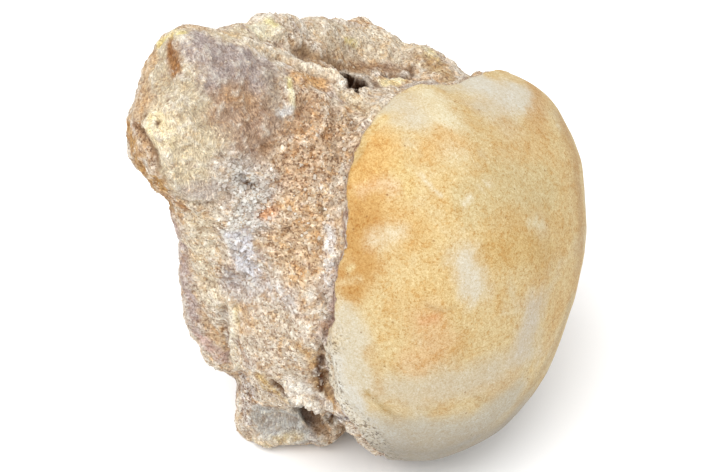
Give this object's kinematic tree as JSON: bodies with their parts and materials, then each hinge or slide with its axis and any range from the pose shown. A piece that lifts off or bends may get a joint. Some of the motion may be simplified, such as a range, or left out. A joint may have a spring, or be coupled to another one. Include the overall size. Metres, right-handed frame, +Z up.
{
  "type": "fossil mosasaur vertebra",
  "caption": "Stout fossil neck vertebra lying on its side: domed ball behind, hollow socket in front, blunt left rib process, broken arch stumps and sandy rock clinging to it.",
  "frame": {"origin": "middle of the bounding box in plan, at the height of the bed it lies on", "axes": "+X level, along the body and out over the ball, which points 5 degrees above it; +Z up; the left rib process rises on the -Y side and the bone's back leans 27 degrees towards +Y"},
  "size_m": [0.0666, 0.067, 0.0814],
  "materials": {
    "fossil": "weathered"
  },
  "bodies": {
    "root": {"vertebra": "fossil"}
  },
  "joints": []
}
